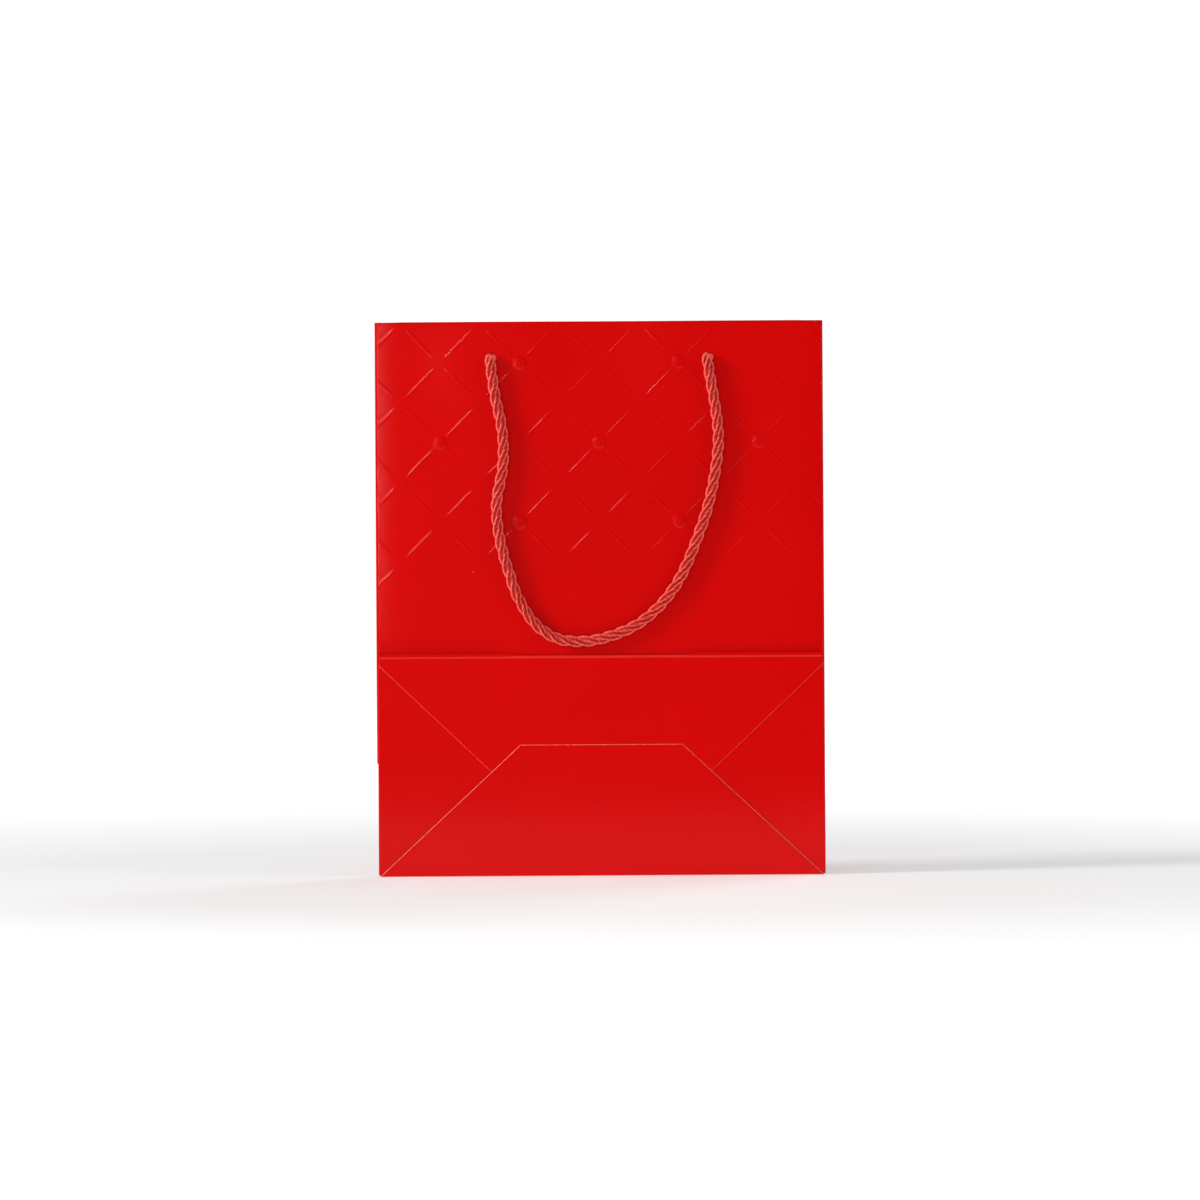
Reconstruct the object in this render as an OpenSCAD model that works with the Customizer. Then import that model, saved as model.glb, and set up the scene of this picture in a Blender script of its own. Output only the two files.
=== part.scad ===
// Gift bag of laminated paper, folded flat, with its bottom folded up over the front.
// +Z runs up the bag and -Y is its front. Every sheet is drawn in x, z and v, where v is
// the height of the stack, counted from the outer face of the back panel to the front.

/* [Bag] */
// Width of the front and back panels
bag_w = 200; // [140:1:280]
// Height of the bag from its bottom crease to its mouth
bag_h = 250; // [180:1:360]
// Depth of the opened bag, which is also the depth of its bottom
bag_d = 100; // [60:1:130]

/* [Paper and card] */
// Thickness of the laminated paper
paper = 0.3; // [0.2:0.05:0.4]
// Thickness of the two strips of card at the mouth
card = 0.5; // [0.3:0.1:0.8]
// Thickness of the loose board in the bottom
board = 0.6; // [0.4:0.1:1]
// Free space between sheets that slide over each other
slip = 0.3; // [0.25:0.05:0.4]
// Free space between the two halves of a gusset
nip = 0.2; // [0.15:0.05:0.3]

/* [Mouth] */
// Height of the strip that is turned in at the mouth
hem_h = 40; // [30:1:50]
// Height of the card strip behind it
card_h = 44; // [34:1:54]
// How far the card stays inside the edges of its panel
card_inset = 2; // [1:0.5:5]

/* [Bottom] */
// How far the front and back bottom flaps overlap
flap_overlap = 20; // [10:1:30]
// Depth of the side flaps under them
side_flap_w = 60; // [40:1:80]
// How far the loose board stays inside the bottom
board_inset = 2; // [1:0.5:5]
// Space left along the slanted cuts of the side walls
diagonal_gap = 0.5; // [0.4:0.1:1]
// Width of the glued seam along the left edge of the back
seam_w = 16; // [10:1:25]

/* [Handles] */
// Thickness of the twisted cord
cord_d = 5.5; // [4:0.5:6]
// Distance between the two holes of a handle
hole_spacing = 98; // [90:1:110]
// Distance of the holes from the mouth
hole_inset = 17; // [15:1:24]
// Radial space between the cord and its hole
hole_clearance = 0.5; // [0.3:0.1:1]
// Diameter of a knot, pressed flat
knot_d = 12; // [10:0.5:13]
// Space between a knot and the middle crease of the gusset beside it
knot_crease_gap = 1; // [0.6:0.1:3]
// Space between the knots of the front and the back handle
knot_gap = 0.4; // [0.3:0.1:3]
// Space between the hanging cord and the panel
cord_lift = 0.35; // [0.3:0.05:0.6]
// Space between a knot and the sheets on both sides
knot_clearance = 0.4; // [0.2:0.1:0.6]

/* [Bulges over the knots] */
// Height of the bulge that a knot presses into a panel
bulge_rise = 2.2; // [1.8:0.1:3]
// How far its level middle reaches past the knots
bulge_margin = 1; // [0.5:0.5:3]
// Width of the slope around it
bulge_slope_w = 22; // [14:1:26]

/* [Hidden] */
$fn = 96;

half_w = bag_w / 2;
half_d = bag_d / 2;
crease_x = half_w - half_d;
hole_x = hole_spacing / 2;
hole_z = bag_h - hole_inset;
hole_d = cord_d + 2 * hole_clearance;
flap_h = half_d + flap_overlap / 2;

// Lower face of each layer of the stack, from the back to the front.
v_back = 0;
v_back_card = v_back + paper;
v_back_hem = v_back_card + card;
v_gusset_back_hem = v_back_hem + paper + slip;
v_gusset_back = v_gusset_back_hem + paper;
v_gusset_front = v_gusset_back + paper + nip;
v_gusset_front_hem = v_gusset_front + paper;
v_front_hem = v_gusset_front_hem + paper + slip;
v_front_card = v_front_hem + paper;
v_front = v_front_card + card;
v_lower = v_front + paper + slip;
v_foot = v_lower + paper + slip;
v_board = v_foot + paper + slip;
v_side_flap = v_board + board;
v_front_flap = v_side_flap + paper;
v_back_flap = v_front_flap + paper;
v_top = v_back_flap + paper;
v_front_face = v_front + paper;
v_middle = v_front_face / 2;

// The stack is centred on y = 0, with the bulges counted in.
v_origin = (max(v_top, v_front_face + bulge_rise) - bulge_rise) / 2;

// A knot sits under its hole, or further in where the gusset's crease would be in its way.
// The front handle's knots are above the holes and the back handle's below them.
knot_x = min(hole_x, crease_x - knot_crease_gap - knot_d / 2);
knot_rise = (knot_d + knot_gap) / 2;

// A bulge is centred between the hole and the two knots under it.
bulge_x = (hole_x + knot_x) / 2;
bulge_flat_r = norm([hole_x - bulge_x, knot_rise]) + knot_d / 2 + bulge_margin;
bulge_r = bulge_flat_r + bulge_slope_w;
knot_room = v_front_hem - v_back_hem - paper + 2 * bulge_rise;
knot_t = knot_room - 2 * knot_clearance;

// Centreline of the front handle as it hangs, from hole to hole: across the bag from its
// middle, the share of the bulge's rise that it lies on, and down from the holes.
HANDLE_ROUTE = [
    [-49, 1, 0], [-48.5, 1, 7], [-47, 0.95, 17], [-44.5, 0.4, 29], [-43.5, 0.05, 39],
    [-44, 0, 50], [-46.5, 0, 63], [-46.5, 0, 73], [-44.5, 0, 85], [-41, 0, 97],
    [-37.5, 0, 107], [-30, 0, 119], [-20, 0, 126], [-8, 0, 127.5], [5, 0, 125],
    [18, 0, 119], [29, 0, 109], [37, 0, 97], [43, 0, 83], [48, 0, 69],
    [51.5, 0, 54], [53.5, 0.1, 38], [52.5, 0.7, 24], [50, 1, 9], [49, 1, 0]
];
CORD_SIDES = 10;

// Turns what is drawn in x, z, v into the bag's own frame.
module stack() translate([0, v_origin, 0]) rotate([90, 0, 0]) children();

// A flat sheet with its lower face at v.
module sheet(v, thickness) translate([0, 0, v]) linear_extrude(thickness) children();

module outline(x0, x1, z0, z1) translate([x0, z0]) square([x1 - x0, z1 - z0]);

// One ring-shaped rise of a sheet, level in its middle and sloping down to the sheet.
module rise(v, thickness, height) rotate_extrude()
    polygon([
        [0, v + height], [bulge_flat_r, v + height], [bulge_r, v],
        [bulge_r, v + thickness], [bulge_flat_r, v + thickness + height],
        [0, v + thickness + height]
    ]);

// A sheet that bulges by height over both pairs of knots.
module bulged_sheet(v, thickness, height) {
    difference() {
        sheet(v, thickness) children();
        for (side = [-1, 1]) translate([side * bulge_x, hole_z, v - 1])
            cylinder(r = bulge_r, h = thickness + 2);
    }
    intersection() {
        sheet(v - abs(height) - 1, thickness + 2 * abs(height) + 2) children();
        for (side = [-1, 1]) translate([side * bulge_x, hole_z, 0])
            rise(v, thickness, height);
    }
}

module cord_holes() for (side = [-1, 1])
    translate([side * hole_x, hole_z, v_origin - 20]) cylinder(d = hole_d, h = 40);

// The turned-in strip at the mouth. Its top edge wraps over the card to the panel.
module turned_hem(v_strip, v_wrap, height) difference() {
    union() {
        bulged_sheet(v_strip, paper, height)
            outline(-half_w + 0.5, half_w - 0.5, bag_h - hem_h, bag_h);
        bulged_sheet(v_wrap, card, height)
            outline(-half_w + 0.5, half_w - 0.5, bag_h - paper, bag_h);
    }
    cord_holes();
}

module reinforcement(v, height) difference() {
    bulged_sheet(v, card, height)
        outline(-half_w + card_inset, half_w - card_inset, bag_h - card_h, bag_h - paper);
    cord_holes();
}

module back_panel() color("firebrick") stack() difference() {
    bulged_sheet(v_back, paper, -bulge_rise) outline(-half_w, half_w, 0, bag_h);
    cord_holes();
}

module back_reinforcement_card() color("lightgray") stack()
    reinforcement(v_back_card, -bulge_rise);

module back_top_hem() color("red") stack()
    turned_hem(v_back_hem, v_back_card, -bulge_rise);

module side_seam_tab() color("white") stack() sheet(v_back_card, paper)
    outline(-half_w + 0.5, -half_w + seam_w, 1, bag_h - card_h - 1);

module front_panel() color("red") stack() difference() {
    bulged_sheet(v_front, paper, bulge_rise) outline(-half_w, half_w, half_d, bag_h);
    cord_holes();
}

module front_reinforcement_card() color("lightgray") stack()
    reinforcement(v_front_card, bulge_rise);

module front_top_hem() color("red") stack()
    turned_hem(v_front_hem, v_front_card, bulge_rise);

module front_lower_panel() color("firebrick") stack() sheet(v_lower, paper)
    outline(-half_w, half_w, half_d, bag_d);

// Half of a side wall, from its outer crease to the middle one, cut off along the slanted
// crease below it.
module gusset_half(v, side) stack() sheet(v, paper) polygon([
    [side * half_w, diagonal_gap], [side * half_w, bag_h],
    [side * crease_x, bag_h], [side * crease_x, half_d + diagonal_gap]
]);

module gusset_hem(v, side) stack() sheet(v, paper)
    outline(min(side * crease_x, side * half_w), max(side * crease_x, side * half_w),
        bag_h - hem_h, bag_h);

module right_gusset_back_half() color("darkred") gusset_half(v_gusset_back, 1);
module right_gusset_back_hem() color("red") gusset_hem(v_gusset_back_hem, 1);
module right_gusset_front_half() color("darkred") gusset_half(v_gusset_front, 1);
module right_gusset_front_hem() color("red") gusset_hem(v_gusset_front_hem, 1);
module left_gusset_back_half() color("darkred") gusset_half(v_gusset_back, -1);
module left_gusset_back_hem() color("red") gusset_hem(v_gusset_back_hem, -1);
module left_gusset_front_half() color("darkred") gusset_half(v_gusset_front, -1);
module left_gusset_front_hem() color("red") gusset_hem(v_gusset_front_hem, -1);

// The triangle of a side wall that stays with the bottom.
module gusset_foot(side) color("crimson") stack() sheet(v_foot, paper)
    polygon([[side * half_w, 0], [side * crease_x, half_d], [side * half_w, bag_d]]);

module right_gusset_foot() gusset_foot(1);
module left_gusset_foot() gusset_foot(-1);

module base_board() color("tan") stack() sheet(v_board, board)
    outline(-half_w + board_inset, half_w - board_inset, board_inset, bag_d - board_inset);

module side_flap(side) color("crimson") stack() sheet(v_side_flap, paper)
    outline(min(side * half_w, side * (half_w - side_flap_w)),
        max(side * half_w, side * (half_w - side_flap_w)), 0, bag_d);

module bottom_right_side_flap() side_flap(1);
module bottom_left_side_flap() side_flap(-1);

// A flap with slanted ends, from the full width of the bottom at z to flap_h further in.
module slanted_flap(z, inward) polygon([
    [-half_w, z], [half_w, z],
    [half_w - flap_h, z + inward * flap_h], [-half_w + flap_h, z + inward * flap_h]
]);

module bottom_front_flap() color("crimson") stack() sheet(v_front_flap, paper)
    slanted_flap(bag_d, -1);

module bottom_back_flap() color("red") stack() sheet(v_back_flap, paper)
    slanted_flap(0, 1);

// A flattened knot under the sheets and the end of the cord that goes out through the
// hole. front is 1 on the front panel and -1 on the back one, drawn as its mirror image.
module knot(side, front) {
    knot_z = hole_z + front * knot_rise;
    turn = atan2(knot_z - hole_z, side * (knot_x - hole_x));
    reach = norm([knot_x - hole_x, knot_z - hole_z]);
    neck_v = v_gusset_front_hem + paper + 1.3 * slip;
    neck_t = v_middle + knot_t / 2 - neck_v;
    color("indianred") stack()
        translate([0, 0, v_middle]) scale_v(front) translate([0, 0, -v_middle]) {
            translate([side * knot_x, knot_z, v_middle - knot_t / 2]) rounded_puck();
            translate([side * hole_x, hole_z, neck_v])
                cylinder(d = cord_d, h = v_front_face + bulge_rise - neck_v);
            translate([side * hole_x, hole_z, neck_v]) rotate([0, 0, turn])
                translate([0, -cord_d / 2 + 0.5, 0]) cube([reach, cord_d - 1, neck_t]);
        }
}

module scale_v(front) if (front > 0) children(); else mirror([0, 0, 1]) children();

module rounded_puck() rotate_extrude() {
    round_r = knot_t / 2;
    intersection() {
        union() {
            translate([knot_d / 2 - round_r, round_r]) circle(r = round_r);
            square([knot_d / 2 - round_r, knot_t]);
        }
        square([knot_d, knot_t]);
    }
}

module front_right_knot() knot(1, 1);
module front_left_knot() knot(-1, 1);
module back_right_knot() knot(1, -1);
module back_left_knot() knot(-1, -1);

// The rings of a tube along a route. Its ends face straight up.
function unit(a) = a / norm(a);
function heading(p, i) = unit(p[min(i + 1, len(p) - 1)] - p[max(i - 1, 0)]);
function ring(p, i) = let(
        along = i == 0 || i == len(p) - 1 ? [0, 0, i == 0 ? -1 : 1] : heading(p, i),
        across = unit(cross(along, [0, 1, 0])),
        out = cross(across, along)
    ) [for (k = [0 : CORD_SIDES - 1]) let(a = 360 * (k + 0.5) / CORD_SIDES)
        p[i] + cord_d / 2 * (cos(a) * across + sin(a) * out)];

module tube(p) polyhedron(
    points = [for (i = [0 : len(p) - 1]) each ring(p, i)],
    faces = [
        [for (k = [0 : CORD_SIDES - 1]) k],
        for (i = [0 : len(p) - 2], k = [0 : CORD_SIDES - 1]) let(
            a = i * CORD_SIDES + k, b = i * CORD_SIDES + (k + 1) % CORD_SIDES
        ) each [[a, a + CORD_SIDES, b], [b, a + CORD_SIDES, b + CORD_SIDES]],
        [for (k = [CORD_SIDES - 1 : -1 : 0]) (len(p) - 1) * CORD_SIDES + k]
    ]
);

// The route in the bag's own frame: front is 1 on the front panel and -1 on the back one.
function placed_route(front) = [for (q = HANDLE_ROUTE) let(
        out = v_front_face - v_middle + q[1] * bulge_rise + cord_lift + cord_d / 2
    ) [q[0], v_origin - v_middle - front * out, hole_z - q[2]]];

module front_handle() color("indianred") tube(placed_route(1));
module back_handle() color("indianred") tube([
    for (i = [len(HANDLE_ROUTE) - 1 : -1 : 0]) placed_route(-1)[i]
]);

back_panel();
back_reinforcement_card();
back_top_hem();
side_seam_tab();
right_gusset_back_half();
right_gusset_back_hem();
right_gusset_front_half();
right_gusset_front_hem();
left_gusset_back_half();
left_gusset_back_hem();
left_gusset_front_half();
left_gusset_front_hem();
front_panel();
front_reinforcement_card();
front_top_hem();
front_lower_panel();
right_gusset_foot();
left_gusset_foot();
base_board();
bottom_right_side_flap();
bottom_left_side_flap();
bottom_front_flap();
bottom_back_flap();
front_right_knot();
front_left_knot();
back_right_knot();
back_left_knot();
front_handle();
back_handle();
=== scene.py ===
# A folded gift bag of red embossed paper with twisted cord handles.
import math

import bpy
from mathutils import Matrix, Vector, noise


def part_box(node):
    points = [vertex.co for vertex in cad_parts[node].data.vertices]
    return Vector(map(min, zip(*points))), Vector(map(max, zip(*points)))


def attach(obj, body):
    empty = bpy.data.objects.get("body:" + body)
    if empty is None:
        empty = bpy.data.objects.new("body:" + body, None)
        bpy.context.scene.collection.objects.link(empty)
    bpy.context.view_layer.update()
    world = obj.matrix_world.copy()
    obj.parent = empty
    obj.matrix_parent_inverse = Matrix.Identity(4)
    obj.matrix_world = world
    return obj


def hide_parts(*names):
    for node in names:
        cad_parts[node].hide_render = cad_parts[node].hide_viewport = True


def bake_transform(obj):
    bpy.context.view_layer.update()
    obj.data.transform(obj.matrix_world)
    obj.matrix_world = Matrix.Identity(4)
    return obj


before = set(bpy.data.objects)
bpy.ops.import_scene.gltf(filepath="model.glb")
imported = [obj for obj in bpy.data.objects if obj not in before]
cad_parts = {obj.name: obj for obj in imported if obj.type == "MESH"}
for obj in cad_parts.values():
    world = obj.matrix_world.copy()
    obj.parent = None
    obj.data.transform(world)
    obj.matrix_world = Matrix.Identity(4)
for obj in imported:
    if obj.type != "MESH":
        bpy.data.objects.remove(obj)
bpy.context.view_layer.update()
print("frame loaded")

mm = 0.001
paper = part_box("front_lower_panel")[1].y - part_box("front_lower_panel")[0].y

bag = {
    "halfWidth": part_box("back_panel")[1].x,
    "top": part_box("back_panel")[1].z,
    "halfDepth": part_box("front_panel")[0].z,
    "depth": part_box("base_board")[1].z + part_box("base_board")[0].z,
    "hem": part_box("back_panel")[1].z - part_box("back_top_hem")[0].z,
    "foldRadius": 0.4 * mm,  # of the edge of a panel turned in over its card
    "creaseX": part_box("right_gusset_back_half")[0].x,
}


def middleY(node):
    low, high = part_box(node)
    return (low.y + high.y) / 2


layer = {  # y of the middle of each sheet where it is level
    "front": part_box("front_panel")[1].y - paper / 2,
    "back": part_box("back_panel")[0].y + paper / 2,
    "gussetBack": middleY("right_gusset_back_half"),
    "gussetFront": middleY("right_gusset_front_half"),
    "lower": middleY("front_lower_panel"),
    "foot": middleY("right_gusset_foot"),
    "sideFlap": middleY("bottom_right_side_flap"),
    "frontFlap": middleY("bottom_front_flap"),
    "backFlap": middleY("bottom_back_flap"),
}

hole = {"x": 49 * mm, "z": bag["top"] - 17 * mm, "radius": 2.55 * mm}
bulge = {  # pressed into both panels by the knots under them
    "x": 46 * mm,
    "z": hole["z"],
    "flat": 13.9 * mm,
    "reach": 40 * mm,
    "rise": {1: 0.8 * mm, -1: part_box("back_panel")[1].y - layer["back"] - paper / 2},
}

view = {
    "distance": 2.6,
    "width": 0.5418,  # what the frame takes in at the bag
    "centre": Vector((-0.0003, 0, 0.1241)),
    "roll": math.radians(0.35),
}


def addCamera():
    clearSelection()
    place = view["centre"] + Vector((0, layer["front"] - view["distance"], 0))
    turn = (math.pi / 2, view["roll"], 0)
    bpy.ops.object.camera_add(location=place, rotation=turn)
    camera = bpy.context.object
    camera.name = "camera"
    camera.data.lens = camera.data.sensor_width * view["distance"] / view["width"]
    camera.data.clip_end = 50
    bpy.context.scene.camera = camera


def clearSelection():
    bpy.ops.object.select_all(action="DESELECT")


addCamera()
print("camera placed")


def addNode(tree, kind, **inputs):
    node = tree.nodes.new(kind)
    for name, value in inputs.items():
        node.inputs[name.replace("_", " ")].default_value = value
    return node


def newGroup(name, inputs, outputs):
    tree = bpy.data.node_groups.new(name, "ShaderNodeTree")
    for socket, kind, value in inputs:
        made = tree.interface.new_socket(socket, in_out="INPUT", socket_type=kind)
        if value is not None:
            made.default_value = value
    for socket, kind in outputs:
        tree.interface.new_socket(socket, in_out="OUTPUT", socket_type=kind)
    return tree, tree.nodes.new("NodeGroupInput"), tree.nodes.new("NodeGroupOutput")


def mathNode(tree, operation, first, second, clamp=False):
    node = tree.nodes.new("ShaderNodeMath")
    node.operation = operation
    node.use_clamp = clamp
    for slot, value in enumerate((first, second)):
        if isinstance(value, (int, float)):
            node.inputs[slot].default_value = value
        else:
            tree.links.new(value, node.inputs[slot])
    return node.outputs[0]


def noiseNode(tree, vector, scale, detail=2.0, roughness=0.5):
    node = addNode(tree, "ShaderNodeTexNoise", Detail=detail, Roughness=roughness)
    tree.links.new(vector, node.inputs["Vector"])
    if isinstance(scale, (int, float)):
        node.inputs["Scale"].default_value = scale
    else:
        tree.links.new(scale, node.inputs["Scale"])
    return node.outputs["Fac"]


def rangeNode(tree, value, low, high, toLow, toHigh):
    node = tree.nodes.new("ShaderNodeMapRange")
    tree.links.new(value, node.inputs["Value"])
    for name, number in (
        ("From Min", low), ("From Max", high), ("To Min", toLow), ("To Max", toHigh)
    ):
        node.inputs[name].default_value = number
    return node.outputs["Result"]


def makeGrainGroup():  # fine unevenness of a rolled surface, in metres
    tree, start, end = newGroup(
        "fineGrain",
        [("Vector", "NodeSocketVector", None), ("Scale", "NodeSocketFloat", 900.0),
         ("Height", "NodeSocketFloat", 0.00002)],
        [("Height", "NodeSocketFloat"), ("Mask", "NodeSocketFloat")],
    )
    fine = noiseNode(tree, start.outputs["Vector"], start.outputs["Scale"], 3.0, 0.6)
    tree.links.new(fine, end.inputs["Mask"])
    tree.links.new(
        mathNode(tree, "MULTIPLY", fine, start.outputs["Height"]), end.inputs["Height"]
    )
    return tree


def makeHandlingGroup():  # faint wipes and dust specks left by handling
    tree, start, end = newGroup(
        "handling",
        [("Vector", "NodeSocketVector", None), ("Wipes", "NodeSocketFloat", 0.06),
         ("Dust", "NodeSocketFloat", 1.0)],
        [("Roughness", "NodeSocketFloat"), ("Dust", "NodeSocketFloat")],
    )
    cloud = noiseNode(tree, start.outputs["Vector"], 18.0, 4.0, 0.55)
    wipe = rangeNode(tree, cloud, 0.35, 0.75, -0.5, 1.0)
    tree.links.new(
        mathNode(tree, "MULTIPLY", wipe, start.outputs["Wipes"]), end.inputs["Roughness"]
    )
    cells = addNode(tree, "ShaderNodeTexVoronoi", Scale=70.0, Randomness=1.0)
    tree.links.new(start.outputs["Vector"], cells.inputs["Vector"])
    near = rangeNode(tree, cells.outputs["Distance"], 0.012, 0.02, 1.0, 0.0)
    split = tree.nodes.new("ShaderNodeSeparateColor")
    tree.links.new(cells.outputs["Color"], split.inputs["Color"])
    rare = rangeNode(tree, split.outputs[0], 0.965, 0.97, 0.0, 1.0)
    speck = mathNode(tree, "MULTIPLY", near, rare)
    tree.links.new(
        mathNode(tree, "MULTIPLY", speck, start.outputs["Dust"]), end.inputs["Dust"]
    )
    return tree


def makeFibreGroup():  # short paper fibres, as a mask from 0 to 1
    tree, start, end = newGroup(
        "paperFibre",
        [("Vector", "NodeSocketVector", None), ("Scale", "NodeSocketFloat", 260.0)],
        [("Mask", "NodeSocketFloat")],
    )
    bent = noiseNode(tree, start.outputs["Vector"], 90.0, 2.0)
    mixed = tree.nodes.new("ShaderNodeVectorMath")
    mixed.operation = "MULTIPLY_ADD"
    mixed.inputs[1].default_value = (1.0, 1.0, 0.22)
    tree.links.new(start.outputs["Vector"], mixed.inputs[0])
    tree.links.new(mathNode(tree, "MULTIPLY", bent, 0.01), mixed.inputs[2])
    strands = noiseNode(tree, mixed.outputs[0], start.outputs["Scale"], 5.0, 0.7)
    tree.links.new(rangeNode(tree, strands, 0.3, 0.7, 0.0, 1.0), end.inputs["Mask"])
    return tree


groups = {
    "grain": makeGrainGroup(),
    "handling": makeHandlingGroup(),
    "fibre": makeFibreGroup(),
}


def placeGroup(tree, group, vector, **inputs):
    node = tree.nodes.new("ShaderNodeGroup")
    node.node_tree = groups[group]
    for name, value in inputs.items():
        node.inputs[name].default_value = value
    tree.links.new(vector, node.inputs["Vector"])
    return node


def newMaterial(name, roughness):
    material = bpy.data.materials.new(name)
    material.use_nodes = True
    tree = material.node_tree
    shader = tree.nodes["Principled BSDF"]
    shader.inputs["Roughness"].default_value = roughness
    vector = tree.nodes.new("ShaderNodeTexCoord").outputs["Object"]
    return material, tree, shader, vector


def colourRamp(tree, value, stops):
    ramp = tree.nodes.new("ShaderNodeValToRGB")
    tree.links.new(value, ramp.inputs["Fac"])
    elements = ramp.color_ramp.elements
    while len(elements) < len(stops):
        elements.new(0.5)
    for element, (position, colour) in zip(elements, stops):
        element.position = position
        element.color = (*colour, 1.0)
    return ramp.outputs["Color"]


def mixColour(tree, share, first, second):
    node = tree.nodes.new("ShaderNodeMix")
    node.data_type = "RGBA"
    tree.links.new(share, node.inputs["Factor"])
    for socket, value in ((node.inputs[6], first), (node.inputs[7], second)):
        if isinstance(value, tuple):
            socket.default_value = (*value, 1.0)
        else:
            tree.links.new(value, socket)
    return node.outputs[2]


def addBump(tree, shader, height):
    bump = addNode(tree, "ShaderNodeBump", Strength=1.0, Distance=1.0)
    tree.links.new(height, bump.inputs["Height"])
    tree.links.new(bump.outputs["Normal"], shader.inputs["Normal"])


redFilm = {
    "sheet": [(0.3, (0.60, 0.0, 0.0)), (0.7, (0.66, 0.0, 0.0))],
    # the fold strip's lighter, pinker red is partly worn film and partly a painted highlight
    # where the fold faces up
    "fold": [(0.3, (0.74, 0.018, 0.016)), (0.7, (0.80, 0.032, 0.028))],
    "dust": (0.85, 0.6, 0.55),
    "roughness": 0.42,
    "specular": 0.04,
    "coat": 0.2,
    "coatRoughness": 0.1,
}


def makeRedFilm(name, stops):  # red printed paper under a gloss film
    material, tree, shader, vector = newMaterial(name, redFilm["roughness"])
    cloud = noiseNode(tree, vector, 9.0, 3.0)
    red = colourRamp(tree, cloud, stops)
    handling = placeGroup(tree, "handling", vector, Wipes=0.07, Dust=0.8)
    tree.links.new(
        mixColour(tree, handling.outputs["Dust"], red, redFilm["dust"]),
        shader.inputs["Base Color"],
    )
    tree.links.new(
        mathNode(tree, "ADD", handling.outputs["Roughness"], redFilm["roughness"]),
        shader.inputs["Roughness"],
    )
    shader.inputs["Coat Weight"].default_value = redFilm["coat"]
    shader.inputs["Coat Roughness"].default_value = redFilm["coatRoughness"]
    shader.inputs["Specular IOR Level"].default_value = redFilm["specular"]
    grain = placeGroup(tree, "grain", vector, Scale=420.0, Height=0.000005)
    addBump(tree, shader, grain.outputs["Height"])
    return material


def makeWhitePaper():  # uncoated back of the sheet
    material, tree, shader, vector = newMaterial("whitePaper", 0.78)
    fibre = placeGroup(tree, "fibre", vector, Scale=300.0)
    tone = colourRamp(
        tree, fibre.outputs["Mask"], [(0.0, (0.74, 0.72, 0.69)), (1.0, (0.86, 0.85, 0.82))]
    )
    tree.links.new(tone, shader.inputs["Base Color"])
    shader.inputs["Specular IOR Level"].default_value = 0.25
    grain = placeGroup(tree, "grain", vector, Scale=1400.0, Height=0.00003)
    addBump(tree, shader, grain.outputs["Height"])
    return material


def makeCutEdge():  # pressed edge of the sheet, where the film is cut through
    material, tree, shader, vector = newMaterial("cutEdge", 0.5)
    fibre = placeGroup(tree, "fibre", vector, Scale=700.0)
    tone = colourRamp(
        tree, fibre.outputs["Mask"], [(0.1, (0.72, 0.055, 0.045)), (0.9, (0.85, 0.30, 0.26))]
    )
    tree.links.new(tone, shader.inputs["Base Color"])
    grain = placeGroup(tree, "grain", vector, Scale=1800.0, Height=0.00004)
    addBump(tree, shader, grain.outputs["Height"])
    return material


def makeBoard(name, dark, pale, flecks):
    material, tree, shader, vector = newMaterial(name, 0.85)
    fibre = placeGroup(tree, "fibre", vector, Scale=flecks)
    tone = colourRamp(tree, fibre.outputs["Mask"], [(0.15, dark), (0.85, pale)])
    tree.links.new(tone, shader.inputs["Base Color"])
    shader.inputs["Specular IOR Level"].default_value = 0.2
    grain = placeGroup(tree, "grain", vector, Scale=700.0, Height=0.00006)
    addBump(tree, shader, grain.outputs["Height"])
    return material


# Painted light on the cord: the first colour is its red darkened as painted shade where the cord
# faces the view, and the next two are lighter copies that paint a highlight where it turns away.
cordFinish = {
    "shadedCore": (0.34, 0.003, 0.002),
    "side": (0.74, 0.050, 0.038),
    "rim": (1.0, 0.165, 0.135),
    # painted shade where the strands press together and in the yarn grooves
    "furrowShade": (0.11, 0.0, 0.0),
    "fibres": 26.0,
    "roughness": 0.42,
    "specular": 0.35,
    "shine": (1.0, 0.36, 0.3, 1.0),
    "sheen": 0.15,
    "sheenRoughness": 0.35,
    "sheenTint": (1.0, 0.42, 0.36, 1.0),
    "bump": 0.00012,
}


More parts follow.
